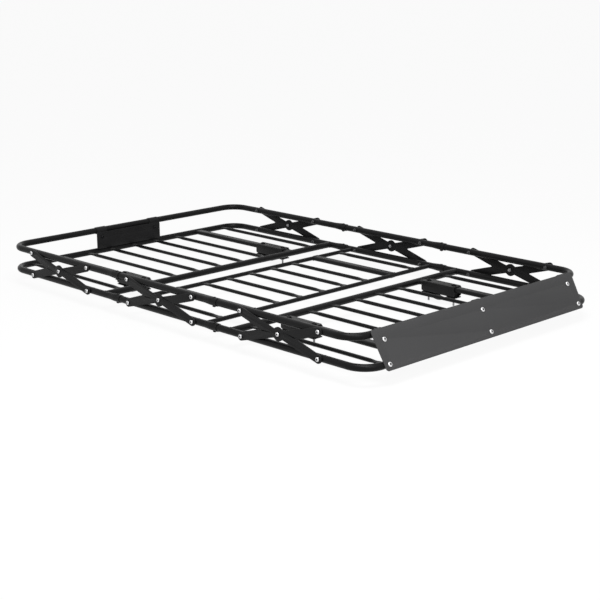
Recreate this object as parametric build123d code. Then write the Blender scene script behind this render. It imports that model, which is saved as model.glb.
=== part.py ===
from build123d import *
from math import cos, radians, sin, tan
import os

# Roof cargo basket in three bolted sections. Millimetres, X forward, Y left, Z up.
# Stations along X are measured from the rear floor rail axis until the last step.

# Frame
rail_d = 20.0
rail_wall = 1.5
rail_spacing = 960.0
bend_r = 60.0
floor_length = 1558.0
floor_z = 53.0
guard_rise = 71.0

# Section joints: the rear tube is belled and the front tube slides into it
joint_offset = 218.0
joint_shift = 16.5
socket_len = 28.0
socket_taper = 24.0
socket_fit = 0.15
joint_bolt_d = 6.0
bolt_play = 0.5
joint_bolt_back = 16.0

# Floor
end_bar_offset = 282.0
inner_bar_offset = 174.0
inner_bar_d = 13.0
slat_d = 11.0
slat_pitch = 94.0
outer_slat_inset = 72.0
slat_flat_w = 19.0
slat_flat_t = 5.0
slat_flat_len = 14.0
slat_taper_len = 28.0
mount_inset = 182.0
mount_w = 30.0
mount_h = 14.0
mount_wall = 1.5

# Braces
brace_span = 290.0
brace_end_inset = 288.0
brace_shift = 8.0
brace_t = 3.0
brace_tip_r = 12.0
brace_side_notch = 68.0
brace_waist = 8.0
brace_notch_r = 1.5
brace_hub_d = 38.0
brace_hub_blend = 6.0
brace_lap_t = 1.5
brace_bolt_d = 6.0

# Wind fairing
fairing_top_inset = 52.0
fairing_low_inset = 58.0
fairing_h = 110.0
fairing_t = 2.0
fairing_lean = 29.6
fairing_below = 19.0
fairing_corner_r = 9.0
fairing_top_screw_drop = 31.0
fairing_low_screw_rise = 15.5
fairing_top_screw_inset = 36.0
fairing_low_screw_inset = 17.0
screw_d = 6.0

# Pipe straps under the fairing and the rear plate
strap_t = 1.5
strap_fit = 0.1
strap_tail = 38.0
strap_w = 38.0
fairing_strap_w = 24.0

# Rear plate
plate_w = 270.0
plate_h = 57.0
plate_top_drop = 5.0
plate_t = 2.0
plate_y = -20.0
plate_corner_r = 6.0
plate_screw_y = 112.0
plate_screw_drop = 22.0

# Crossbar clamps
clamp_rear_gap = 96.5
clamp_front_gap = 88.0
clamp_len = 128.0
clamp_bolt_pitch = 98.0
clamp_bolt_d = 6.0
bolt_slot_len = 22.0
top_plate_t = 3.0
top_plate_r = 6.0
saddle_fit = 0.5
saddle_wall = 2.5
saddle_drop = 24.0
saddle_r = 8.0
seat_len = 50.0
seat_w = 18.0
seat_h = 1.0
seat_r = 3.0
packer_fit = 0.25
packer_len = 112.0
packer_hold = 2.0
jaw_w = 34.0
jaw_t = 3.0
jaw_mouth = 66.0
jaw_sag = 13.0
bolt_head_d = 13.0
bolt_head_h = 3.5
nut_af = 10.0
nut_h = 5.0

# Derived values
rail_r = rail_d / 2
side_y = rail_spacing / 2
guard_z = floor_z + guard_rise
mid_x = floor_length / 2
joint_rear = mid_x + joint_shift - joint_offset
joint_front = mid_x + joint_shift + joint_offset
bell_bore_r = rail_r + socket_fit
bell_r = bell_bore_r + rail_wall
lean = radians(fairing_lean)
strap_reach = rail_r + strap_fit + strap_t
guard_front = floor_length - guard_rise * tan(lean) - (strap_reach - rail_r) / cos(lean)
mount_y = side_y - mount_inset
mount_top = floor_z + mount_h / 2
outer_slat_y = side_y - outer_slat_inset
brace_pitch = mid_x - brace_end_inset
brace_mid = mid_x - brace_shift
brace_rear = brace_mid - brace_pitch
brace_front = brace_mid + brace_pitch
fairing_top_w = rail_spacing - 2 * fairing_top_inset
fairing_low_w = rail_spacing - 2 * fairing_low_inset
fairing_top_screw_y = fairing_top_w / 2 - fairing_top_screw_inset
fairing_low_screw_y = fairing_low_w / 2 - fairing_low_screw_inset
clamp_rear_x = mid_x - end_bar_offset - clamp_rear_gap
clamp_front_x = mid_x + end_bar_offset + clamp_front_gap
saddle_in_w = mount_w + 2 * saddle_fit
saddle_w = saddle_in_w + 2 * saddle_wall
saddle_low = floor_z - saddle_drop
saddle_h = mount_top - saddle_low
slat_ys = [k * slat_pitch for k in range(-2, 3)] + [-outer_slat_y, outer_slat_y]


def tube_along(path, outer_r, wall):
    section = Plane(path @ 0, z_dir=path % 0) * (Circle(outer_r) - Circle(outer_r - wall))
    return sweep(section, path=path)


def bell_mouth(mouth_x, y, z):
    # Expanded tube end, open towards +X.
    start = -socket_len - socket_taper
    bore_r = rail_r - rail_wall
    outline = Polyline(
        (start, bore_r),
        (-socket_len, bell_bore_r),
        (0, bell_bore_r),
        (0, bell_r),
        (-socket_len, bell_r),
        (start, rail_r),
        close=True,
    )
    profile = Plane.XZ * make_face(outline)
    return Pos(mouth_x, y, z) * revolve(profile, Axis.X)


def round_bar(start, end, radius):
    line = Line(start, end)
    return sweep(Plane(line @ 0, z_dir=line % 0) * Circle(radius), path=line)


def joint_bolt_hole(mouth_x, y, z):
    hole_r = (joint_bolt_d + bolt_play) / 2
    return Pos(mouth_x - joint_bolt_back, y, z) * Cylinder(hole_r, 4 * rail_d)


def brace_bolt_xs(centre_x):
    return [centre_x - brace_span / 2, centre_x + brace_span / 2]


def brace_holes(centre_x, z):
    hole_r = (brace_bolt_d + bolt_play) / 2
    holes = [
        Pos(x, side * side_y, z) * Rot(X=90) * Cylinder(hole_r, 2 * rail_d)
        for x in brace_bolt_xs(centre_x)
        for side in (-1, 1)
    ]
    return holes


def rear_rail(z):
    body_end = joint_rear - socket_len - socket_taper
    path = FilletPolyline(
        (body_end, -side_y, z),
        (0, -side_y, z),
        (0, side_y, z),
        (body_end, side_y, z),
        radius=bend_r,
    )
    rail = tube_along(path, rail_r, rail_wall)
    for side in (-1, 1):
        rail += bell_mouth(joint_rear, side * side_y, z)
        rail -= joint_bolt_hole(joint_rear, side * side_y, z)
    return rail - brace_holes(brace_rear, z)


def middle_rail(side, z):
    start = joint_rear - socket_len + socket_fit
    body_end = joint_front - socket_len - socket_taper
    path = Line((start, side * side_y, z), (body_end, side * side_y, z))
    rail = tube_along(path, rail_r, rail_wall)
    rail += bell_mouth(joint_front, side * side_y, z)
    rail -= joint_bolt_hole(joint_front, side * side_y, z)
    rail -= joint_bolt_hole(joint_rear, side * side_y, z)
    return rail - brace_holes(brace_mid, z)


def front_rail(front_x, z):
    start = joint_front - socket_len + socket_fit
    path = FilletPolyline(
        (start, -side_y, z),
        (front_x, -side_y, z),
        (front_x, side_y, z),
        (start, side_y, z),
        radius=bend_r,
    )
    rail = tube_along(path, rail_r, rail_wall)
    for side in (-1, 1):
        rail -= joint_bolt_hole(joint_front, side * side_y, z)
    return rail - brace_holes(brace_front, z)


def crossbar(x, diameter):
    # Tube between the floor rails, its ends coped to them.
    path = Line((x, -side_y, floor_z), (x, side_y, floor_z))
    bar = tube_along(path, diameter / 2, rail_wall)
    for side in (-1, 1):
        bar -= round_bar((x - rail_d, side * side_y, floor_z), (x + rail_d, side * side_y, floor_z), rail_r)
    return bar


def slat(start_x, start_r, end_x, end_r, y):
    # Round slat pressed flat at both ends and coped to the tubes it meets.
    round_face = Circle(slat_d / 2)
    flat_face = SlotOverall(slat_flat_w, slat_flat_t)
    stations = [
        start_x,
        start_x + start_r + slat_flat_len,
        start_x + start_r + slat_flat_len + slat_taper_len,
        end_x - end_r - slat_flat_len - slat_taper_len,
        end_x - end_r - slat_flat_len,
        end_x,
    ]
    planes = [Plane((x, y, floor_z), x_dir=(0, 1, 0), z_dir=(1, 0, 0)) for x in stations]
    body = extrude(planes[2] * round_face, stations[3] - stations[2])
    body += loft([planes[1] * flat_face, planes[2] * round_face])
    body += loft([planes[3] * round_face, planes[4] * flat_face])
    body += extrude(planes[0] * flat_face, stations[1] - stations[0])
    body += extrude(planes[4] * flat_face, stations[5] - stations[4])
    body -= round_bar((start_x, y - slat_flat_w, floor_z), (start_x, y + slat_flat_w, floor_z), start_r)
    body -= round_bar((end_x, y - slat_flat_w, floor_z), (end_x, y + slat_flat_w, floor_z), end_r)
    return body


def mount_tube(start_x, start_r, end_x, end_r, y, clamp_x=None):
    # Flat-oval tube, coped at both ends and slotted where a clamp is bolted on.
    section = SlotOverall(mount_w, mount_h) - SlotOverall(mount_w - 2 * mount_wall, mount_h - 2 * mount_wall)
    first_x = start_x + start_r / 2
    last_x = end_x - end_r / 2
    plane = Plane((first_x, y, floor_z), x_dir=(0, 1, 0), z_dir=(1, 0, 0))
    body = extrude(plane * section, last_x - first_x)
    for x, r in ((start_x, start_r), (end_x, end_r)):
        body -= round_bar((x, y - mount_w, floor_z), (x, y + mount_w, floor_z), r)
    if clamp_x is not None:
        body -= [Pos(clamp_x, y, floor_z) * slot for slot in bolt_slots(2 * mount_h)]
    return body


def clamp_bolt_xs(clamp_x):
    return [clamp_x - clamp_bolt_pitch / 2, clamp_x + clamp_bolt_pitch / 2]


def bolt_slots(height):
    # Slots along X that let the clamp slide to the crossbar.
    slot = SlotOverall(bolt_slot_len, clamp_bolt_d + bolt_play)
    return [Pos(x, 0, 0) * extrude(slot, height / 2, both=True) for x in clamp_bolt_xs(0)]


def bolt_bores(height):
    return [Pos(x, 0, 0) * Cylinder((clamp_bolt_d + bolt_play) / 2, height) for x in clamp_bolt_xs(0)]


def brace(centre_x, side):
    half_x = brace_span / 2
    half_z = guard_rise / 2
    tip = Pos(half_x, half_z) * Circle(brace_tip_r)
    root = Polyline((0, brace_waist), (0, 0), (brace_side_notch, 0))
    arm = make_hull(tip.edges() + root.edges())
    upper_left = mirror(arm, Plane.YZ)
    lower_right = mirror(arm, Plane.XZ)
    lower_left = mirror(upper_left, Plane.XZ)
    hub = Circle(brace_hub_d / 2)
    # The bar from upper left to lower right laps over the other one at the hub.
    front_bar = hub + upper_left + lower_right
    outline = front_bar + arm + lower_left
    front_bar = fillet(front_bar.vertices().sort_by_distance((0, 0))[:4], brace_hub_blend)
    outline = fillet(outline.vertices().sort_by_distance((0, 0))[:4], brace_hub_blend)
    notches = [outline.vertices().sort_by_distance((x, 0))[0] for x in (-brace_side_notch, brace_side_notch)]
    outline = fillet(notches, brace_notch_r)
    plate = extrude(outline, brace_t, dir=(0, 0, 1))
    plate += Pos(0, 0, brace_t) * extrude(front_bar, brace_lap_t, dir=(0, 0, 1))
    hole = Cylinder((brace_bolt_d + bolt_play) / 2, 4 * brace_t)
    plate -= hole
    for x in (-half_x, half_x):
        for z in (-half_z, half_z):
            plate -= Pos(x, z) * hole
    outward = Plane(
        (centre_x, side * (side_y + rail_r), floor_z + half_z),
        x_dir=(-side, 0, 0),
        z_dir=(0, side, 0),
    )
    return outward * plate


def strap(width):
    # Pipe strap round a rail at the origin, its tail hanging below along -Z on the +X side.
    inner = rail_r + strap_fit
    ring = Circle(strap_reach) - Circle(inner)
    tail = Pos(inner + strap_t / 2, -strap_tail / 2) * Rectangle(strap_t, strap_tail)
    profile = ring + tail
    return extrude(Plane.XZ * profile, width / 2, both=True)


def screw_hole(x, z):
    return Pos(x, 0, z) * Rot(Y=90) * Cylinder((screw_d + bolt_play) / 2, 4 * rail_r)


def fairing():
    # Local X along the panel to the left, local Y up the slope, local Z out of the front face.
    half_w = fairing_low_w / 2
    half_h = fairing_h / 2
    flare = (fairing_top_w - fairing_low_w) / 2
    right = Polyline((0, -half_h), (-half_w, -half_h), (-half_w - flare, half_h), (0, half_h), close=True)
    outline = make_face(right) + mirror(make_face(right), Plane.YZ)
    outline = fillet(outline.vertices().filter_by(lambda v: abs(v.X) > 1), fairing_corner_r)
    hole = Circle((screw_d + bolt_play) / 2)
    for y in (-fairing_top_screw_y, 0, fairing_top_screw_y):
        outline -= Pos(y, half_h - fairing_top_screw_drop) * hole
    for y in (-fairing_low_screw_y, 0, fairing_low_screw_y):
        outline -= Pos(y, -half_h + fairing_low_screw_rise) * hole
    sheet = extrude(outline, fairing_t)
    touch = Vector(floor_length + rail_r * cos(lean), 0, floor_z + rail_r * sin(lean))
    up_slope = Vector(-sin(lean), 0, cos(lean))
    centre = touch + up_slope * (half_h - fairing_below)
    return Plane(centre, x_dir=(0, 1, 0), z_dir=(cos(lean), 0, sin(lean))) * sheet


def fairing_straps():
    screw_along = fairing_h - fairing_below - fairing_top_screw_drop
    rail_along = guard_rise / cos(lean) - (strap_reach - rail_r) * tan(lean)
    one = strap(fairing_strap_w) - screw_hole(rail_r, screw_along - rail_along)
    place = Pos(guard_front, 0, guard_z) * Rot(Y=-fairing_lean)
    return [Pos(0, y, 0) * place * one for y in (-fairing_top_screw_y, 0, fairing_top_screw_y)]


def rear_plate():
    outline = RectangleRounded(plate_w, plate_h, plate_corner_r)
    hole = Circle((screw_d + bolt_play) / 2)
    for y in (-plate_screw_y, plate_screw_y):
        outline -= Pos(y, plate_h / 2 + plate_top_drop - plate_screw_drop) * hole
    sheet = extrude(outline, plate_t)
    centre_z = guard_z - plate_top_drop - plate_h / 2
    return Plane((strap_reach, plate_y, centre_z), x_dir=(0, 1, 0), z_dir=(1, 0, 0)) * sheet


def rear_straps():
    one = strap(strap_w) - screw_hole(rail_r, -plate_screw_drop)
    return [Pos(0, plate_y + y, guard_z) * one for y in (-plate_screw_y, plate_screw_y)]


def clamp_saddle(clamp_x, y):
    # Pressed saddle that takes the mounting tube from below, with a raised seat for the crossbar.
    outer = fillet(Rectangle(saddle_w, saddle_h).vertices().group_by(Axis.Y)[0], saddle_r)
    inner = Rectangle(saddle_in_w, saddle_h)
    inner = fillet(inner.vertices().group_by(Axis.Y)[0], saddle_r - saddle_wall)
    section = outer - Pos(0, saddle_wall) * inner
    across = Plane((0, 0, 0), x_dir=(0, 1, 0), z_dir=(1, 0, 0))
    body = extrude(across * section, clamp_len / 2, both=True)
    side_view = fillet(Rectangle(clamp_len, saddle_h).vertices().group_by(Axis.Y)[0], saddle_r)
    body = body & extrude(Plane.XZ * side_view, saddle_w, both=True)
    body -= bolt_bores(4 * saddle_h)
    seat = Pos(0, 0, -saddle_h / 2) * RectangleRounded(seat_len, seat_w, seat_r)
    body += extrude(seat, -seat_h, taper=20)
    return Pos(clamp_x, y, saddle_low + saddle_h / 2) * body


def clamp_packer(clamp_x, y):
    # Rubber block between saddle and tube, hollowed to the tube's underside.
    bottom = saddle_low + saddle_wall
    height = floor_z - packer_hold - bottom
    face = Rectangle(saddle_in_w - 2 * packer_fit, height)
    face = fillet(face.vertices().group_by(Axis.Y)[0], saddle_r - saddle_wall)
    face = Pos(0, bottom + height / 2 - floor_z) * face - SlotOverall(mount_w, mount_h)
    across = Plane((0, 0, 0), x_dir=(0, 1, 0), z_dir=(1, 0, 0))
    body = extrude(across * face, packer_len / 2, both=True)
    body -= bolt_bores(4 * saddle_h)
    return Pos(clamp_x, y, floor_z) * body


def clamp_jaw(clamp_x, y):
    # Strip with flat ears and a dished middle that holds the crossbar up.
    half_m = jaw_mouth / 2
    half_l = clamp_len / 2
    ear = Line((-half_l, 0), (-half_m, 0))
    dish = ThreePointArc((-half_m, 0), (0, -jaw_sag), (half_m, 0))
    far_ear = Line((half_m, 0), (half_l, 0))
    strip = offset(Wire([ear, dish, far_ear]), jaw_t, side=Side.RIGHT, closed=True)
    body = extrude(Plane.XZ * make_face(strip), jaw_w / 2, both=True)
    body -= bolt_bores(4 * jaw_t)
    return Pos(clamp_x, y, saddle_low) * body


def clamp_top_plate(clamp_x, y):
    plate = extrude(RectangleRounded(clamp_len, saddle_w, top_plate_r), top_plate_t)
    plate -= bolt_slots(4 * top_plate_t)
    return Pos(clamp_x, y, mount_top) * plate


def clamp_bolt(x, y):
    head_z = mount_top + top_plate_t
    nut_z = saddle_low - jaw_t
    bolt = Pos(0, 0, head_z / 2) * Cylinder(clamp_bolt_d / 2, head_z)
    bolt += Pos(0, 0, head_z) * extrude(Circle(bolt_head_d / 2), bolt_head_h, taper=30)
    bolt += Pos(0, 0, nut_z - nut_h) * extrude(RegularPolygon(nut_af / 2, 6, major_radius=False), nut_h)
    return Pos(x, y, 0) * bolt


pieces = {}
pieces["rear_floor_rail"] = rear_rail(floor_z)
pieces["rear_guard_rail"] = rear_rail(guard_z)
pieces["front_floor_rail"] = front_rail(floor_length, floor_z)
pieces["front_guard_rail"] = front_rail(guard_front, guard_z)
for side, label in ((1, "left"), (-1, "right")):
    pieces[f"middle_floor_rail_{label}"] = middle_rail(side, floor_z)
    pieces[f"middle_guard_rail_{label}"] = middle_rail(side, guard_z)

bars = {
    "rear_crossbar": (mid_x - end_bar_offset, rail_d),
    "middle_rear_crossbar": (mid_x - inner_bar_offset, inner_bar_d),
    "middle_front_crossbar": (mid_x + inner_bar_offset, inner_bar_d),
    "front_crossbar": (mid_x + end_bar_offset, rail_d),
}
for name, (x, diameter) in bars.items():
    pieces[name] = crossbar(x, diameter)

sections = {
    "rear": ((0, rail_d), bars["rear_crossbar"], clamp_rear_x),
    "middle": (bars["middle_rear_crossbar"], bars["middle_front_crossbar"], None),
    "front": (bars["front_crossbar"], (floor_length, rail_d), clamp_front_x),
}
for name, (start, end, clamp_x) in sections.items():
    span = (start[0], start[1] / 2, end[0], end[1] / 2)
    pieces[f"{name}_floor_slats"] = Compound([slat(*span, y) for y in slat_ys])
    for side, label in ((1, "left"), (-1, "right")):
        pieces[f"{name}_mount_tube_{label}"] = mount_tube(*span, side * mount_y, clamp_x)

for name, centre_x in (("rear", brace_rear), ("middle", brace_mid), ("front", brace_front)):
    for side, label in ((1, "left"), (-1, "right")):
        pieces[f"{name}_brace_{label}"] = brace(centre_x, side)

pieces["wind_fairing"] = fairing()
pieces["fairing_straps"] = Compound(fairing_straps())
pieces["rear_plate"] = rear_plate()
pieces["rear_plate_straps"] = Compound(rear_straps())

clamps = {
    "rear_left": (clamp_rear_x, mount_y),
    "rear_right": (clamp_rear_x, -mount_y),
    "front_left": (clamp_front_x, mount_y),
    "front_right": (clamp_front_x, -mount_y),
}
for label, (x, y) in clamps.items():
    pieces[f"clamp_saddle_{label}"] = clamp_saddle(x, y)
    pieces[f"clamp_jaw_{label}"] = clamp_jaw(x, y)
pieces["clamp_packers"] = Compound([clamp_packer(x, y) for x, y in clamps.values()])
pieces["clamp_top_plates"] = Compound([clamp_top_plate(x, y) for x, y in clamps.values()])
pieces["clamp_bolts"] = Compound(
    [clamp_bolt(bolt_x, y) for x, y in clamps.values() for bolt_x in clamp_bolt_xs(x)]
)

# The origin sits on the ground under the middle of the footprint.
box = Compound([piece for piece in pieces.values()]).bounding_box()
to_origin = Pos(-box.center().X, -box.center().Y, -box.min.Z)

os.makedirs("parts", exist_ok=True)
for name, piece in pieces.items():
    export_step(to_origin * piece, f"parts/{name}.step")
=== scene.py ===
import math
import bmesh
import bpy
from mathutils import Matrix, Vector


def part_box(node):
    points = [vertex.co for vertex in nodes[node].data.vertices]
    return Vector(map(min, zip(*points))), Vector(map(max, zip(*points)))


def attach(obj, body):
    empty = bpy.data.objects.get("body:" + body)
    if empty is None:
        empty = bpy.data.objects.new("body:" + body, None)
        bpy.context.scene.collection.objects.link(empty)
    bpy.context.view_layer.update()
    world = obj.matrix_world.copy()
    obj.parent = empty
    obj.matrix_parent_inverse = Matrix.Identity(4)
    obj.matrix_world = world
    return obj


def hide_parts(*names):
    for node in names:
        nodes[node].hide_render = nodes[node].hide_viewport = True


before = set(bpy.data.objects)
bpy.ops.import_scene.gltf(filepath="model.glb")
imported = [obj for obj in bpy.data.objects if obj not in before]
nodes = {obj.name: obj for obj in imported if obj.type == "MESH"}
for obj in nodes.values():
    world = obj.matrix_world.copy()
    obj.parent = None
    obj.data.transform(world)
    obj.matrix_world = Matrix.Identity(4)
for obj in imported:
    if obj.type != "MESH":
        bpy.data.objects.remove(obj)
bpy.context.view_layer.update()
scene = bpy.context.scene
print("frame loaded:", len(nodes), "CAD nodes")

mm = 0.001
railR = 10 * mm


# mesh tools
def addObject(name, mesh):
    obj = bpy.data.objects.new(name, mesh)
    scene.collection.objects.link(obj)
    return obj


def ring(bm, radius, z, steps, hexFlat=None):
    # one ring of points about Z, round or following a hexagon
    points = []
    for i in range(steps):
        a = 2 * math.pi * i / steps
        r = radius
        if hexFlat:
            r = hexFlat / 2 / math.cos((a % (math.pi / 3)) - math.pi / 6)
        points.append(bm.verts.new((r * math.cos(a), r * math.sin(a), z)))
    return points


def skin(bm, rings, capFirst=True, capLast=True):
    # quads between rings, from the first to the last, outwards when they climb
    for low, high in zip(rings, rings[1:]):
        for i in range(len(low)):
            j = (i + 1) % len(low)
            bm.faces.new((low[i], low[j], high[j], high[i]))
    if capFirst:
        bm.faces.new(list(reversed(rings[0])))
    if capLast:
        bm.faces.new(rings[-1])


def meshFrom(bm, name, smoothAngle=35):
    bmesh.ops.recalc_face_normals(bm, faces=bm.faces)
    mesh = bpy.data.meshes.new(name)
    bm.to_mesh(mesh)
    bm.free()
    mesh.shade_smooth()
    mesh.set_sharp_from_angle(angle=math.radians(smoothAngle))
    return mesh


def pointCloud(name, places):
    # places are (position, outward direction); the direction rides along as an attribute
    mesh = bpy.data.meshes.new(name)
    mesh.from_pydata([tuple(p) for p, _ in places], [], [])
    aim = mesh.attributes.new("aim", "FLOAT_VECTOR", "POINT")
    for i, (_, direction) in enumerate(places):
        aim.data[i].vector = direction
    return addObject(name, mesh)


def loopsMesh(name, loops):
    # closed lines for the weld beads
    mesh = bpy.data.meshes.new(name)
    points, edges = [], []
    for loop in loops:
        first = len(points)
        points += [tuple(p) for p in loop]
        edges += [(first + i, first + (i + 1) % len(loop)) for i in range(len(loop))]
    mesh.from_pydata(points, edges, [])
    return addObject(name, mesh)


# materials
def newMaterial(name):
    material = bpy.data.materials.new(name)
    material.use_nodes = True
    tree = material.node_tree
    return material, tree, tree.nodes["Principled BSDF"]


def addNode(tree, kind, **settings):
    node = tree.nodes.new(kind)
    for key, value in settings.items():
        setattr(node, key, value)
    return node


def noise(tree, coords, scale, detail=3.0, rough=0.55):
    node = addNode(tree, "ShaderNodeTexNoise")
    node.inputs["Scale"].default_value = scale
    node.inputs["Detail"].default_value = detail
    node.inputs["Roughness"].default_value = rough
    tree.links.new(coords, node.inputs["Vector"])
    return node.outputs["Fac"]


def mapRange(tree, value, fromLow, fromHigh, toLow, toHigh):
    node = addNode(tree, "ShaderNodeMapRange", clamp=True)
    node.inputs["From Min"].default_value = fromLow
    node.inputs["From Max"].default_value = fromHigh
    node.inputs["To Min"].default_value = toLow
    node.inputs["To Max"].default_value = toHigh
    tree.links.new(value, node.inputs["Value"])
    return node.outputs["Result"]


def math2(tree, operation, a, b):
    node = addNode(tree, "ShaderNodeMath", operation=operation)
    for socket, value in zip(node.inputs, (a, b)):
        if isinstance(value, (int, float)):
            socket.default_value = value
        else:
            tree.links.new(value, socket)
    return node.outputs[0]


def mixColour(tree, factor, a, b):
    node = addNode(tree, "ShaderNodeMix", data_type="RGBA")
    tree.links.new(factor, node.inputs["Factor"])
    for socket, value in ((node.inputs["A"], a), (node.inputs["B"], b)):
        if isinstance(value, tuple):
            socket.default_value = (*value, 1)
        else:
            tree.links.new(value, socket)
    return node.outputs["Result"]


def edgeMask(tree, radius):
    # 1 on worn edges: where the rounded normal leaves the flat one
    bevel = addNode(tree, "ShaderNodeBevel", samples=6)
    bevel.inputs["Radius"].default_value = radius
    geometry = addNode(tree, "ShaderNodeNewGeometry")
    dot = addNode(tree, "ShaderNodeVectorMath", operation="DOT_PRODUCT")
    tree.links.new(bevel.outputs["Normal"], dot.inputs[0])
    tree.links.new(geometry.outputs["Normal"], dot.inputs[1])
    return mapRange(tree, dot.outputs["Value"], 0.985, 0.80, 0.0, 1.0)


def coatMaterial(spec):
    # powder coat: fine orange peel, cloudy gloss, thin dust on top faces, lighter edges
    material, tree, shader = newMaterial(spec["name"])
    coords = addNode(tree, "ShaderNodeTexCoord").outputs["Object"]
    cloud = noise(tree, coords, spec["cloudScale"], 4)
    grain = noise(tree, coords, spec["peelScale"], 2)
    speck = noise(tree, coords, spec["peelScale"] * 2.7, 1)
    colour = mixColour(tree, mapRange(tree, cloud, 0.3, 0.7, 0, 1), spec["dark"], spec["light"])
    geometry = addNode(tree, "ShaderNodeNewGeometry")
    split = addNode(tree, "ShaderNodeSeparateXYZ")
    tree.links.new(geometry.outputs["Normal"], split.inputs["Vector"])
    lies = mapRange(tree, split.outputs["Z"], 0.55, 1.0, 0.0, spec["dust"])
    settled = math2(tree, "MULTIPLY", lies, mapRange(tree, cloud, 0.35, 0.75, 0.3, 1.0))
    colour = mixColour(tree, settled, colour, spec["dustColour"])
    worn = edgeMask(tree, spec["edgeRadius"])
    worn = math2(tree, "MULTIPLY", worn, mapRange(tree, grain, 0.38, 0.66, 0.1, spec["wear"]))
    colour = mixColour(tree, worn, colour, spec["wornColour"])
    tree.links.new(colour, shader.inputs["Base Color"])
    gloss = mapRange(tree, cloud, 0.3, 0.7, spec["rough"][0], spec["rough"][1])
    gloss = math2(tree, "ADD", gloss, mapRange(tree, speck, 0.3, 0.7, -0.03, 0.03))
    tree.links.new(gloss, shader.inputs["Roughness"])
    shader.inputs["Specular IOR Level"].default_value = spec["specular"]
    bump = addNode(tree, "ShaderNodeBump")
    bump.inputs["Strength"].default_value = spec["peel"]
    bump.inputs["Distance"].default_value = 0.0004
    tree.links.new(math2(tree, "ADD", grain, math2(tree, "MULTIPLY", speck, 0.5)), bump.inputs["Height"])
    tree.links.new(bump.outputs["Normal"], shader.inputs["Normal"])
    return material


def zincMaterial(spec):
    # plated steel: spangle, fine scratches in the gloss
    material, tree, shader = newMaterial(spec["name"])
    coords = addNode(tree, "ShaderNodeTexCoord").outputs["Object"]
    cells = addNode(tree, "ShaderNodeTexVoronoi")
    cells.inputs["Scale"].default_value = 700
    tree.links.new(coords, cells.inputs["Vector"])
    cloud = noise(tree, coords, 160, 3)
    tone = mixColour(tree, mapRange(tree, cloud, 0.3, 0.7, 0, 1), spec["dark"], spec["light"])
    tree.links.new(tone, shader.inputs["Base Color"])
    shine = mapRange(tree, cells.outputs["Distance"], 0.0, 0.8, spec["rough"][0], spec["rough"][1])
    tree.links.new(shine, shader.inputs["Roughness"])
    shader.inputs["Metallic"].default_value = spec["metallic"]
    bump = addNode(tree, "ShaderNodeBump")
    bump.inputs["Strength"].default_value = 0.12
    bump.inputs["Distance"].default_value = 0.0002
    tree.links.new(noise(tree, coords, 2600, 2), bump.inputs["Height"])
    tree.links.new(bump.outputs["Normal"], shader.inputs["Normal"])
    return material


frameCoat = coatMaterial({
    "name": "frameCoat", "dark": (0.0035, 0.0035, 0.0037), "light": (0.0055, 0.0055, 0.0058),
    "dust": 0.06, "dustColour": (0.05, 0.049, 0.048), "wear": 0.6, "wornColour": (0.07, 0.07, 0.072),
    "edgeRadius": 1.2 * mm, "cloudScale": 9, "peelScale": 850, "peel": 0.16, "rough": (0.32, 0.40),
    "specular": 0.11,
})
braceCoat = coatMaterial({
    "name": "braceCoat", "dark": (0.0065, 0.0065, 0.0068), "light": (0.0095, 0.0095, 0.0099),
    "dust": 0.12, "dustColour": (0.07, 0.07, 0.07), "wear": 0.7, "wornColour": (0.08, 0.08, 0.082),
    "edgeRadius": 1.0 * mm, "cloudScale": 13, "peelScale": 800, "peel": 0.2, "rough": (0.42, 0.52),
    "specular": 0.13,
})
fairingCoat = coatMaterial({
    "name": "fairingCoat", "dark": (0.044, 0.044, 0.045), "light": (0.050, 0.050, 0.051),
    "dust": 0.06, "dustColour": (0.11, 0.11, 0.108), "wear": 0.5, "wornColour": (0.13, 0.13, 0.132),
    "edgeRadius": 0.9 * mm, "cloudScale": 5, "peelScale": 620, "peel": 0.26, "rough": (0.56, 0.66),
    "specular": 0.2,
})
clampCoat = coatMaterial({
    "name": "clampCoat", "dark": (0.005, 0.005, 0.005), "light": (0.008, 0.008, 0.0083),
    "dust": 0.12, "dustColour": (0.08, 0.079, 0.077), "wear": 0.8, "wornColour": (0.10, 0.10, 0.102),
    "edgeRadius": 1.0 * mm, "cloudScale": 22, "peelScale": 900, "peel": 0.2, "rough": (0.40, 0.52),
    "specular": 0.14,
})
packerRubber = coatMaterial({
    "name": "packerRubber", "dark": (0.011, 0.011, 0.011), "light": (0.016, 0.016, 0.016),
    "dust": 0.1, "dustColour": (0.05, 0.05, 0.048), "wear": 0.2, "wornColour": (0.03, 0.03, 0.03),
    "edgeRadius": 0.8 * mm, "cloudScale": 40, "peelScale": 1400, "peel": 0.3, "rough": (0.75, 0.88),
    "specular": 0.25,
})
zincBright = zincMaterial({
    "name": "zincBright", "dark": (0.62, 0.62, 0.63), "light": (0.78, 0.78, 0.78), "rough": (0.22, 0.42), "metallic": 1.0,
})
zincDull = zincMaterial({
    "name": "zincDull", "dark": (0.30, 0.30, 0.31), "light": (0.45, 0.45, 0.45), "rough": (0.34, 0.55), "metallic": 1.0,
})
zincDark = zincMaterial({
    "name": "zincDark", "dark": (0.07, 0.07, 0.072), "light": (0.12, 0.12, 0.121), "rough": (0.36, 0.55), "metallic": 1.0,
})
blackOxide = zincMaterial({
    "name": "blackOxide", "dark": (0.010, 0.010, 0.0105), "light": (0.020, 0.020, 0.0205), "rough": (0.35, 0.5), "metallic": 1.0,
})
print("materials ready")


# geometry node trees
def newTree(name, inputs):
    tree = bpy.data.node_groups.new(name, "GeometryNodeTree")
    face = tree.interface
    face.new_socket("Geometry", in_out="INPUT", socket_type="NodeSocketGeometry")
    for label, kind in inputs:
        face.new_socket(label, in_out="INPUT", socket_type=kind)
    face.new_socket("Geometry", in_out="OUTPUT", socket_type="NodeSocketGeometry")
    return tree, tree.nodes.new("NodeGroupInput"), tree.nodes.new("NodeGroupOutput")


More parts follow.
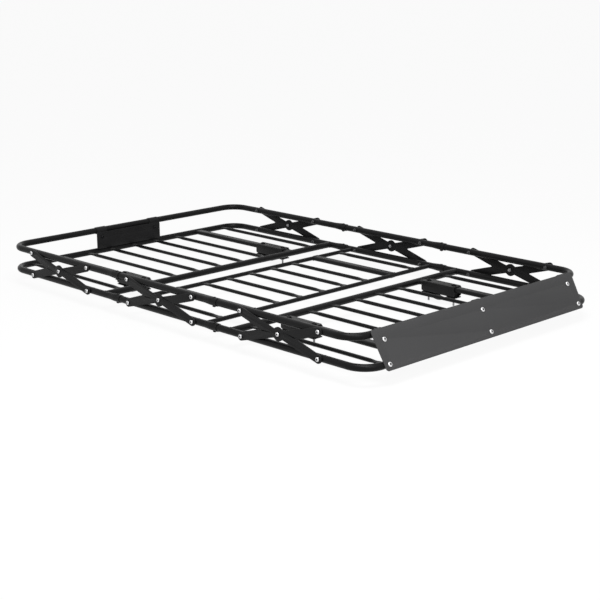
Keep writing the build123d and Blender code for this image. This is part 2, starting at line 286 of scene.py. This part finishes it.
def finishTree(tree, start, end, geometry, smooth=False):
    realize = tree.nodes.new("GeometryNodeRealizeInstances")
    paint = tree.nodes.new("GeometryNodeSetMaterial")
    tree.links.new(geometry, realize.inputs["Geometry"])
    result = realize.outputs["Geometry"]
    if smooth:
        shade = tree.nodes.new("GeometryNodeSetShadeSmooth")
        tree.links.new(result, shade.inputs["Geometry"])
        result = shade.outputs["Geometry"]
    tree.links.new(result, paint.inputs["Geometry"])
    tree.links.new(start.outputs["Material"], paint.inputs["Material"])
    tree.links.new(paint.outputs["Geometry"], end.inputs["Geometry"])


def hardwareTree():
    # one fastener on every point, turned to the point's aim and spun at random about it
    tree, start, end = newTree("hardwareRow", [
        ("Fastener", "NodeSocketObject"), ("Seed", "NodeSocketInt"), ("Material", "NodeSocketMaterial"),
    ])
    link = tree.links.new
    aim = tree.nodes.new("GeometryNodeInputNamedAttribute")
    aim.data_type = "FLOAT_VECTOR"
    aim.inputs["Name"].default_value = "aim"
    align = tree.nodes.new("FunctionNodeAlignRotationToVector")
    align.axis = "Z"
    link(aim.outputs["Attribute"], align.inputs["Vector"])
    angle = tree.nodes.new("FunctionNodeRandomValue")
    angle.data_type = "FLOAT"
    angle.inputs[2].default_value = 0.0
    angle.inputs[3].default_value = math.tau
    link(start.outputs["Seed"], angle.inputs["Seed"])
    spin = tree.nodes.new("FunctionNodeAxisAngleToRotation")
    spin.inputs["Axis"].default_value = (0, 0, 1)
    link(angle.outputs[1], spin.inputs["Angle"])
    turn = tree.nodes.new("FunctionNodeRotateRotation")
    turn.rotation_space = "LOCAL"
    link(align.outputs["Rotation"], turn.inputs["Rotation"])
    link(spin.outputs["Rotation"], turn.inputs["Rotate By"])
    part = tree.nodes.new("GeometryNodeObjectInfo")
    link(start.outputs["Fastener"], part.inputs["Object"])
    place = tree.nodes.new("GeometryNodeInstanceOnPoints")
    link(start.outputs["Geometry"], place.inputs["Points"])
    link(part.outputs["Geometry"], place.inputs["Instance"])
    link(turn.outputs["Rotation"], place.inputs["Rotation"])
    finishTree(tree, start, end, place.outputs["Instances"])
    return tree


def weldTree():
    # overlapping ripples along every line, each a little different
    tree, start, end = newTree("weldBead", [
        ("Ripple Pitch", "NodeSocketFloat"), ("Bead Radius", "NodeSocketFloat"),
        ("Seed", "NodeSocketInt"), ("Material", "NodeSocketMaterial"),
    ])
    link = tree.links.new
    toCurve = tree.nodes.new("GeometryNodeMeshToCurve")
    link(start.outputs["Geometry"], toCurve.inputs["Mesh"])
    even = tree.nodes.new("GeometryNodeResampleCurve")
    even.mode = "LENGTH"
    link(toCurve.outputs["Curve"], even.inputs["Curve"])
    link(start.outputs["Ripple Pitch"], even.inputs["Length"])
    tangent = tree.nodes.new("GeometryNodeInputTangent")
    align = tree.nodes.new("FunctionNodeAlignRotationToVector")
    align.axis = "X"
    link(tangent.outputs["Tangent"], align.inputs["Vector"])
    ripple = tree.nodes.new("GeometryNodeMeshIcoSphere")
    ripple.inputs["Subdivisions"].default_value = 2
    link(start.outputs["Bead Radius"], ripple.inputs["Radius"])
    vary = tree.nodes.new("FunctionNodeRandomValue")
    vary.data_type = "FLOAT_VECTOR"
    vary.inputs[0].default_value = (0.75, 0.85, 0.85)
    vary.inputs[1].default_value = (1.05, 1.15, 1.15)
    link(start.outputs["Seed"], vary.inputs["Seed"])
    place = tree.nodes.new("GeometryNodeInstanceOnPoints")
    link(even.outputs["Curve"], place.inputs["Points"])
    link(ripple.outputs["Mesh"], place.inputs["Instance"])
    link(align.outputs["Rotation"], place.inputs["Rotation"])
    link(vary.outputs[0], place.inputs["Scale"])
    finishTree(tree, start, end, place.outputs["Instances"], smooth=True)
    return tree


def threadTree():
    # a helical ridge under every point, along -Z
    tree, start, end = newTree("screwThread", [
        ("Core Radius", "NodeSocketFloat"), ("Thread Pitch", "NodeSocketFloat"),
        ("Thread Length", "NodeSocketFloat"), ("Material", "NodeSocketMaterial"),
    ])
    link = tree.links.new
    turns = tree.nodes.new("ShaderNodeMath")
    turns.operation = "DIVIDE"
    link(start.outputs["Thread Length"], turns.inputs[0])
    link(start.outputs["Thread Pitch"], turns.inputs[1])
    helix = tree.nodes.new("GeometryNodeCurveSpiral")
    helix.inputs["Resolution"].default_value = 14
    link(turns.outputs[0], helix.inputs["Rotations"])
    link(start.outputs["Core Radius"], helix.inputs["Start Radius"])
    link(start.outputs["Core Radius"], helix.inputs["End Radius"])
    link(start.outputs["Thread Length"], helix.inputs["Height"])
    ridge = tree.nodes.new("GeometryNodeCurvePrimitiveCircle")
    ridge.inputs["Resolution"].default_value = 3
    half = tree.nodes.new("ShaderNodeMath")
    half.operation = "MULTIPLY"
    half.inputs[1].default_value = 0.52
    link(start.outputs["Thread Pitch"], half.inputs[0])
    link(half.outputs[0], ridge.inputs["Radius"])
    sweep = tree.nodes.new("GeometryNodeCurveToMesh")
    sweep.inputs["Fill Caps"].default_value = True
    link(helix.outputs["Curve"], sweep.inputs["Curve"])
    link(ridge.outputs["Curve"], sweep.inputs["Profile Curve"])
    place = tree.nodes.new("GeometryNodeInstanceOnPoints")
    link(start.outputs["Geometry"], place.inputs["Points"])
    link(sweep.outputs["Mesh"], place.inputs["Instance"])
    finishTree(tree, start, end, place.outputs["Instances"])
    return tree


def runTree(source, tree, values, name):
    # evaluates the tree on the source object and keeps the result as a plain mesh
    modifier = source.modifiers.new(tree.name, "NODES")
    modifier.node_group = tree
    for item in tree.interface.items_tree:
        if item.item_type == "SOCKET" and item.in_out == "INPUT" and item.name in values:
            modifier[item.identifier] = values[item.name]
    source.update_tag()
    graph = bpy.context.evaluated_depsgraph_get()
    mesh = bpy.data.meshes.new_from_object(source.evaluated_get(graph), depsgraph=graph)
    mesh.name = name
    source.modifiers.clear()
    bpy.data.objects.remove(source)
    return mesh


hardwareRow = hardwareTree()
weldBead = weldTree()
screwThread = threadTree()


def joinMeshes(name, meshes, material):
    bm = bmesh.new()
    for mesh in meshes:
        bm.from_mesh(mesh)
    joined = bpy.data.meshes.new(name)
    bm.to_mesh(joined)
    bm.free()
    joined.materials.append(material)
    joined.polygons.foreach_set("material_index", [0] * len(joined.polygons))
    return addObject(name, joined)


# fastener shapes: the seat is at z 0 and the head stands above it
def screwHead(spec):
    # low domed head with a hexagon socket
    steps = 24
    r, h = spec["headD"] / 2, spec["headH"]
    bm = bmesh.new()
    rings = [ring(bm, r * 0.96, 0, steps), ring(bm, r, 0.12 * h, steps), ring(bm, r, 0.28 * h, steps)]
    for k in range(1, 6):
        t = k / 5 * math.radians(62)
        rings.append(ring(bm, r * math.cos(t), 0.28 * h + 0.72 * h * math.sin(t) / math.sin(math.radians(62)), steps))
    socket = spec["socket"]
    rings.append(ring(bm, 0, h, steps, hexFlat=socket * 1.08))
    rings.append(ring(bm, 0, h - 0.25 * mm, steps, hexFlat=socket))
    rings.append(ring(bm, 0, 0.3 * h, steps, hexFlat=socket))
    rings.append(ring(bm, socket * 0.15, 0.22 * h, steps))
    skin(bm, rings)
    return meshFrom(bm, spec["name"])


def socketShadePlug(spec):
    # painted shade: a dark hexagon plug that fills the bottom of a socket and stands for the shade in the recess
    bm = bmesh.new()
    flat, top = spec["socket"] * 0.99, spec["headH"] - 0.55 * mm
    skin(bm, [ring(bm, 0, 0.4 * spec["headH"], 24, hexFlat=flat), ring(bm, 0, top, 24, hexFlat=flat)])
    return meshFrom(bm, spec["name"] + "Plug")


def washer(spec):
    steps = 28
    bm = bmesh.new()
    r, hole, t = spec["washerD"] / 2, spec["boltD"] / 2 * 1.06, spec["washerT"]
    rings = [
        ring(bm, hole, 0, steps), ring(bm, r * 0.97, 0, steps), ring(bm, r, 0.2 * t, steps),
        ring(bm, r, 0.75 * t, steps), ring(bm, r * 0.97, t, steps), ring(bm, hole, t, steps),
    ]
    skin(bm, rings + rings[:1], False, False)
    return meshFrom(bm, "washer")


def hexNut(spec):
    # chamfered nut with the bolt's end standing out of it
    steps = 24
    flat, h, bolt = spec["nutFlat"], spec["nutH"], spec["boltD"] / 2
    bm = bmesh.new()
    rings = [
        ring(bm, flat * 0.49, 0, steps), ring(bm, 0, 0.14 * h, steps, hexFlat=flat),
        ring(bm, 0, 0.86 * h, steps, hexFlat=flat), ring(bm, flat * 0.49, h, steps),
        ring(bm, bolt * 1.12, h, steps), ring(bm, bolt, h - 0.3 * mm, steps),
        ring(bm, bolt, h + spec["standOut"], steps), ring(bm, bolt * 0.75, h + spec["standOut"] + 0.5 * mm, steps),
    ]
    skin(bm, rings)
    return meshFrom(bm, "hexNut")


def fastenerRow(name, shape, places, material, seed):
    template = addObject("template", shape)
    mesh = runTree(pointCloud(name + "Points", places), hardwareRow,
                   {"Fastener": template, "Seed": seed, "Material": material}, name)
    bpy.data.objects.remove(template)
    piece = addObject(name, mesh)
    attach(piece, "root")
    return piece


# brace bolts: heads outside, nuts inside the rails
braceBolt = {
    "name": "braceBoltHead", "headD": 12 * mm, "headH": 3.2 * mm, "socket": 5.2 * mm,
    "washerD": 14.5 * mm, "washerT": 0.8 * mm, "boltD": 6 * mm, "nutFlat": 10 * mm, "nutH": 5 * mm,
    "standOut": 2.5 * mm, "tipInset": 12 * mm, "lapT": 1.5 * mm, "plateT": 3 * mm,
}


def braceBoltPlaces(spec):
    # the lapped bar runs from upper left to lower right as seen from outside
    heads, nuts, hubNuts = [], [], []
    for name in nodes:
        if "_brace_" not in name:
            continue
        low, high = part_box(name)
        side = 1 if low.y > 0 else -1
        back = low.y if side > 0 else high.y
        front = back + side * spec["plateT"]
        out = Vector((0, side, 0))
        mid = (low + high) / 2
        for x in (low.x + spec["tipInset"], high.x - spec["tipInset"]):
            for z in (low.z + spec["tipInset"], high.z - spec["tipInset"]):
                lapped = (x - mid.x) * (z - mid.z) * side > 0
                seat = front + side * spec["lapT"] if lapped else front
                heads.append((Vector((x, seat, z)), out))
                nuts.append((Vector((x, back - side * 2 * railR, z)), -out))
        heads.append((Vector((mid.x, front + side * spec["lapT"], mid.z)), out))
        hubNuts.append((Vector((mid.x, back, mid.z)), -out))
    return heads, nuts, hubNuts


heads, nuts, hubNuts = braceBoltPlaces(braceBolt)
raised = [(p + d * braceBolt["washerT"], d) for p, d in heads]
fastenerRow("braceBoltHeads", screwHead(braceBolt), raised, zincBright, 3)
fastenerRow("braceWashers", washer(braceBolt), heads, blackOxide, 4)
# painted shade: dark plugs in the bottoms of the head sockets
fastenerRow("braceSockets", socketShadePlug(braceBolt), raised, blackOxide, 3)
fastenerRow("braceNuts", hexNut(braceBolt), nuts, zincDark, 5)
fastenerRow("braceHubNuts", hexNut(braceBolt), hubNuts, zincDull, 6)
print("brace bolts:", len(heads))


# joint bolts: down through each belled socket
jointBolt = {
    "name": "jointBoltHead", "headD": 10 * mm, "headH": 1.8 * mm, "socket": 3.5 * mm, "boltD": 6 * mm,
    "nutFlat": 10 * mm, "nutH": 3.2 * mm, "standOut": 0.8 * mm, "back": 16 * mm, "bellR": 11.65 * mm,
}
tops, bottoms = [], []
for name in ("rear_floor_rail", "rear_guard_rail", "middle_floor_rail_left", "middle_guard_rail_left"):
    low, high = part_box(name)
    axisZ = (low.z + high.z) / 2
    axisY = high.y - jointBolt["bellR"]
    for y in (-axisY, axisY):
        at = Vector((high.x - jointBolt["back"], y, axisZ))
        sink = 0.6 * mm
        tops.append((at + Vector((0, 0, jointBolt["bellR"] - sink)), Vector((0, 0, 1))))
        bottoms.append((at - Vector((0, 0, jointBolt["bellR"] - sink)), Vector((0, 0, -1))))
fastenerRow("jointBoltHeads", screwHead(jointBolt), tops, frameCoat, 7)
fastenerRow("jointNuts", hexNut(jointBolt), bottoms, blackOxide, 8)
print("joint bolts:", len(tops))


# fairing and rear plate screws
fairingScrew = {
    "name": "fairingScrewHead", "headD": 13.5 * mm, "headH": 3.2 * mm, "socket": 5.6 * mm, "boltD": 6 * mm,
    "nutFlat": 10 * mm, "nutH": 5 * mm, "standOut": 2 * mm, "lean": math.radians(29.6), "panelT": 2 * mm,
    "below": 19 * mm, "height": 110 * mm, "topUp": 79 * mm, "lowUp": 15.5 * mm,
    "topY": (-392 * mm, 0, 392 * mm), "lowY": (-405 * mm, 0, 405 * mm), "strapT": 1.6 * mm,
}


def fairingPlaces(spec):
    low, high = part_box("front_floor_rail")
    axis = Vector((high.x - railR, 0, (low.z + high.z) / 2))
    out = Vector((math.cos(spec["lean"]), 0, math.sin(spec["lean"])))
    up = Vector((-math.sin(spec["lean"]), 0, math.cos(spec["lean"])))
    base = axis + out * railR - up * spec["below"]
    fronts, backs = [], []
    for ys, rise, behind in ((spec["topY"], spec["topUp"], spec["strapT"]), (spec["lowY"], spec["lowUp"], 0)):
        for y in ys:
            at = base + up * rise + Vector((0, y, 0))
            fronts.append((at + out * spec["panelT"], out))
            if behind:
                backs.append((at - out * behind, -out))
    return fronts, backs


fronts, backs = fairingPlaces(fairingScrew)
fastenerRow("fairingScrews", screwHead(fairingScrew), fronts, zincBright, 11)
# painted shade: dark plugs in the bottoms of the screw sockets
fastenerRow("fairingSockets", socketShadePlug(fairingScrew), fronts, blackOxide, 11)
fastenerRow("fairingNuts", hexNut(fairingScrew), backs, zincDark, 12)

plateScrew = {
    "name": "plateScrewHead", "headD": 12 * mm, "headH": 3.2 * mm, "socket": 4.5 * mm, "boltD": 6 * mm,
    "nutFlat": 10 * mm, "nutH": 5 * mm, "standOut": 2 * mm, "reach": 112 * mm, "drop": 22 * mm, "strapT": 1.5 * mm,
}
low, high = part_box("rear_plate")
guardZ = sum(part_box("rear_guard_rail"), Vector()).z / 2
fronts, backs = [], []
for y in (-plateScrew["reach"], plateScrew["reach"]):
    at = Vector((high.x, (low.y + high.y) / 2 + y, guardZ - plateScrew["drop"]))
    fronts.append((at, Vector((1, 0, 0))))
    backs.append((Vector((low.x - plateScrew["strapT"], at.y, at.z)), Vector((-1, 0, 0))))
fastenerRow("plateScrews", screwHead(plateScrew), fronts, blackOxide, 13)
fastenerRow("plateNuts", hexNut(plateScrew), backs, zincDark, 14)
print("fairing and plate screws placed")


# clamp bolts: domed head on the slotted plate, threaded shank, nut under the jaw
clampBolt = {
    "name": "clampBoltHead", "headD": 13 * mm, "headH": 3.5 * mm, "socket": 5 * mm, "boltD": 6 * mm,
    "washerD": 16 * mm, "washerT": 1.0 * mm, "nutFlat": 10 * mm, "nutH": 5 * mm, "standOut": 0.2 * mm,
    "core": 2.55 * mm, "pitch": 1.0 * mm, "inset": 15 * mm, "jawT": 3 * mm, "seatUp": 1 * mm,
}


def clampBolts(spec):
    heads, washers, nuts, threads, shanks = [], [], [], [], []
    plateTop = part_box("clamp_top_plates")[1].z
    for label in ("rear_left", "rear_right", "front_left", "front_right"):
        low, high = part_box("clamp_saddle_" + label)
        y = (low.y + high.y) / 2
        earLow = low.z + spec["seatUp"] - spec["jawT"]
        for x in (low.x + spec["inset"], high.x - spec["inset"]):
            washers.append((Vector((x, y, plateTop)), Vector((0, 0, 1))))
            heads.append((Vector((x, y, plateTop + spec["washerT"])), Vector((0, 0, 1))))
            nuts.append((Vector((x, y, earLow)), Vector((0, 0, -1))))
            threads.append((Vector((x, y, 0.4 * mm)), Vector((0, 0, 1))))
            shanks.append((x, y, plateTop))
    threadLen = earLow - 1 * mm
    bm = bmesh.new()
    for x, y, top in shanks:
        rod = [ring(bm, spec["core"] * 0.7, 0, 20), ring(bm, spec["core"], 0.5 * mm, 20), ring(bm, spec["core"], top, 20)]
        skin(bm, rod)
        for loop in rod:
            bmesh.ops.translate(bm, verts=loop, vec=(x, y, 0))
    rodMesh = meshFrom(bm, "rods")
    ridge = runTree(pointCloud("threadPoints", threads), screwThread, {
        "Core Radius": spec["core"], "Thread Pitch": spec["pitch"], "Thread Length": threadLen,
        "Material": zincDull,
    }, "ridge")
    rods = joinMeshes("clampBoltShanks", [rodMesh, ridge], zincDull)
    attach(rods, "root")
    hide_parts("clamp_bolts")
    fastenerRow("clampBoltHeads", screwHead(spec), heads, blackOxide, 17)
    fastenerRow("clampWashers", washer(spec), washers, blackOxide, 18)
    fastenerRow("clampNuts", hexNut(spec), nuts, zincDull, 19)
    return len(shanks)


print("clamp bolts:", clampBolts(clampBolt))


# weld beads round the ends of slats, mounting tubes and crossbars
weld = {
    "pitch": 1.5 * mm, "bead": 1.5 * mm, "slatW": 19 * mm, "slatT": 5 * mm, "tubeW": 30 * mm, "tubeH": 14 * mm,
    "slatPitch": 94 * mm, "outerSlat": 408 * mm,
    "crossbars": ("rear_crossbar", "middle_rear_crossbar", "middle_front_crossbar", "front_crossbar"),
}


def ovalLoop(x, y, z, width, height, barR, toward):
    # where a flat-oval end meets the round bar whose axis is at x
    points = []
    flat, r = (width - height) / 2, height / 2
    for i in range(48):
        a = 2 * math.pi * i / 48
        dy = r * math.cos(a) + (flat if math.cos(a) >= 0 else -flat)
        dz = r * math.sin(a)
        reach = math.sqrt(max(barR ** 2 - dz ** 2, 0.09 * barR ** 2))
        points.append(Vector((x + toward * reach, y + dy, z + dz)))
    return points


def barLoop(x, y, z, barR, side):
    # where a round crossbar meets the side rail
    points = []
    for i in range(40):
        a = 2 * math.pi * i / 40
        dx, dz = barR * math.cos(a), barR * math.sin(a)
        reach = math.sqrt(max(railR ** 2 - dz ** 2, 0.04 * railR ** 2))
        points.append(Vector((x + dx, y - side * reach, z + dz)))
    return points


def weldLoops(spec):
    loops = []
    bars = {}
    for name in spec["crossbars"]:
        low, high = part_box(name)
        bars[name] = ((low.x + high.x) / 2, (high.x - low.x) / 2)
    low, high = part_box("rear_floor_rail")
    bars["rear"] = (low.x + railR, railR)
    floorZ = (low.z + high.z) / 2
    bars["front"] = (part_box("front_floor_rail")[1].x - railR, railR)
    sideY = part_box("front_floor_rail")[1].y - railR
    spans = {
        "rear": ("rear", "rear_crossbar"), "middle": ("middle_rear_crossbar", "middle_front_crossbar"),
        "front": ("front_crossbar", "front"),
    }
    slatYs = [k * spec["slatPitch"] for k in range(-2, 3)] + [-spec["outerSlat"], spec["outerSlat"]]
    for section, ends in spans.items():
        for end, toward in zip(ends, (1, -1)):
            x, r = bars[end]
            for y in slatYs:
                loops.append(ovalLoop(x, y, floorZ, spec["slatW"], spec["slatT"], r, toward))
            for label in ("left", "right"):
                low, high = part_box(f"{section}_mount_tube_{label}")
                loops.append(ovalLoop(x, (low.y + high.y) / 2, floorZ, spec["tubeW"], spec["tubeH"], r, toward))
    for name in spec["crossbars"]:
        x, r = bars[name]
        for side in (-1, 1):
            loops.append(barLoop(x, side * sideY, floorZ, r, side))
    return loops


loops = weldLoops(weld)
mesh = runTree(loopsMesh("weldLines", loops), weldBead, {
    "Ripple Pitch": weld["pitch"], "Bead Radius": weld["bead"], "Seed": 23, "Material": frameCoat,
}, "floorWelds")
welds = addObject("floorWelds", mesh)
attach(welds, "root")
print("weld lines:", len(loops), "triangles:", sum(len(p.vertices) - 2 for p in mesh.polygons))


# sheet metal with rolled edges, made from the CAD solids
sheetEdges = {
    "brace": (0.5 * mm, braceCoat, "powder_black"), "wind_fairing": (0.35 * mm, fairingCoat, "fairing_grey"),
    "rear_plate": (0.35 * mm, braceCoat, "powder_black"), "clamp_top_plates": (0.5 * mm, clampCoat, "clamp_black"),
    "clamp_jaw": (0.5 * mm, clampCoat, "clamp_black"), "clamp_saddle": (0.5 * mm, clampCoat, "clamp_black"),
}


def softenEdges(name, width, material):
    mesh = nodes[name].data.copy()
    bm = bmesh.new()
    bm.from_mesh(mesh)
    bmesh.ops.remove_doubles(bm, verts=bm.verts, dist=1e-6)
    bmesh.ops.dissolve_limit(bm, angle_limit=math.radians(0.5), verts=bm.verts, edges=bm.edges)
    bm.to_mesh(mesh)
    bm.free()
    source = addObject("softSource", mesh)
    bevel = source.modifiers.new("edges", "BEVEL")
    bevel.width = width
    bevel.segments = 2
    bevel.limit_method = "ANGLE"
    bevel.angle_limit = math.radians(40)
    bevel.use_clamp_overlap = False
    graph = bpy.context.evaluated_depsgraph_get()
    finished = bpy.data.meshes.new_from_object(source.evaluated_get(graph), depsgraph=graph)
    bpy.data.objects.remove(source)
    finished.shade_smooth()
    finished.set_sharp_from_angle(angle=math.radians(32))
    finished.materials.clear()
    finished.materials.append(material)
    piece = addObject(name + "_sheet", finished)
    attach(piece, "root")
    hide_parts(name)
    return piece


softened = 0
for name in sorted(nodes):
    for key, (width, material, slot) in sheetEdges.items():
        if key in name and "straps" not in name:
            softenEdges(name, width, material)
            softened += 1
print("sheet pieces softened:", softened)


# finishes of the CAD nodes that show as they are
nodeFinish = {"clamp_packers": packerRubber, "fairing_straps": braceCoat, "rear_plate_straps": braceCoat}
for name, obj in nodes.items():
    obj.data.materials.clear()
    obj.data.materials.append(nodeFinish.get(name, frameCoat))
print("finishes set on CAD nodes")


# floor, light and camera
stageSet = {"floorSize": 60, "floorTone": 0.92, "floorShare": 0.92, "ambient": 0.45}


def whiteForCamera(tree, base, white, share):
    # camera, glossy and transmission rays see the white backdrop
    path = addNode(tree, "ShaderNodeLightPath")
    seen = math2(tree, "MAXIMUM", path.outputs["Is Camera Ray"], path.outputs["Is Glossy Ray"])
    seen = math2(tree, "MAXIMUM", seen, path.outputs["Is Transmission Ray"])
    mix = addNode(tree, "ShaderNodeMixShader")
    tree.links.new(math2(tree, "MULTIPLY", seen, share), mix.inputs["Fac"])
    tree.links.new(base, mix.inputs[1])
    tree.links.new(white, mix.inputs[2])
    return mix.outputs[0]


def makeFloor(spec):
    half = spec["floorSize"] / 2
    mesh = bpy.data.meshes.new("floor")
    mesh.from_pydata([(-half, -half, 0), (half, -half, 0), (half, half, 0), (-half, half, 0)], [], [(0, 1, 2, 3)])
    floor = addObject("floor", mesh)
    material, tree, shader = newMaterial("paleFloor")
    tone = spec["floorTone"]
    shader.inputs["Base Color"].default_value = (tone, tone, tone, 1)
    shader.inputs["Roughness"].default_value = 0.9
    shader.inputs["Specular IOR Level"].default_value = 0.0
    glow = addNode(tree, "ShaderNodeEmission")
    out = tree.nodes["Material Output"]
    tree.links.new(whiteForCamera(tree, shader.outputs[0], glow.outputs[0], spec["floorShare"]), out.inputs["Surface"])
    mesh.materials.append(material)


def makeWorld(spec):
    world = bpy.data.worlds.new("studio")
    scene.world = world
    world.use_nodes = True
    tree = world.node_tree
    ambient = tree.nodes["Background"]
    ambient.inputs["Color"].default_value = (1, 1, 1, 1)
    ambient.inputs["Strength"].default_value = spec["ambient"]
    white = addNode(tree, "ShaderNodeBackground")
    white.inputs["Strength"].default_value = 1.0
    white.inputs["Color"].default_value = (1, 1, 1, 1)
    out = tree.nodes["World Output"]
    tree.links.new(whiteForCamera(tree, ambient.outputs[0], white.outputs[0], 1.0), out.inputs["Surface"])


def softbox(name, place, target, size, power):
    lamp = bpy.data.lights.new(name, "AREA")
    lamp.shape = "RECTANGLE"
    lamp.size, lamp.size_y = size
    lamp.energy = power
    obj = addObject(name, lamp)
    obj.location = place
    obj.rotation_mode = "QUATERNION"
    obj.rotation_quaternion = (Vector(target) - Vector(place)).to_track_quat("-Z", "Y")


makeFloor(stageSet)
makeWorld(stageSet)
softbox("overhead", (1.1, -1.0, 2.6), (0, 0, 0), (1.5, 1.1), 62)
softbox("frontFill", (2.6, -1.2, 1.6), (0.2, 0, 0.05), (1.4, 1.2), 18)

photoView = {
    "place": (2.8823, -2.7585, 1.0553), "azimuth": 45.55, "elevation": 13.73, "roll": -0.29,
    "lens": 80.08, "sensor": 36, "shift": (-0.00548, -0.04375),
}


def photoCamera(spec):
    data = bpy.data.cameras.new("photoCamera")
    data.lens = spec["lens"]
    data.sensor_width = spec["sensor"]
    data.shift_x, data.shift_y = spec["shift"]
    data.clip_start, data.clip_end = 0.05, 100
    a, e, r = (math.radians(spec[k]) for k in ("azimuth", "elevation", "roll"))
    back = Vector((math.sin(a) * math.cos(e), -math.cos(a) * math.cos(e), math.sin(e)))
    level = Vector((math.cos(a), math.sin(a), 0))
    right = level * math.cos(r) + back.cross(level) * math.sin(r)
    up = back.cross(right)
    turn = Matrix((right, up, back)).transposed()
    camera = addObject("photoCamera", data)
    camera.matrix_world = Matrix.Translation(spec["place"]) @ turn.to_4x4()
    scene.camera = camera


photoCamera(photoView)
scene.view_settings.view_transform = "Standard"
print("stage, light and camera ready")
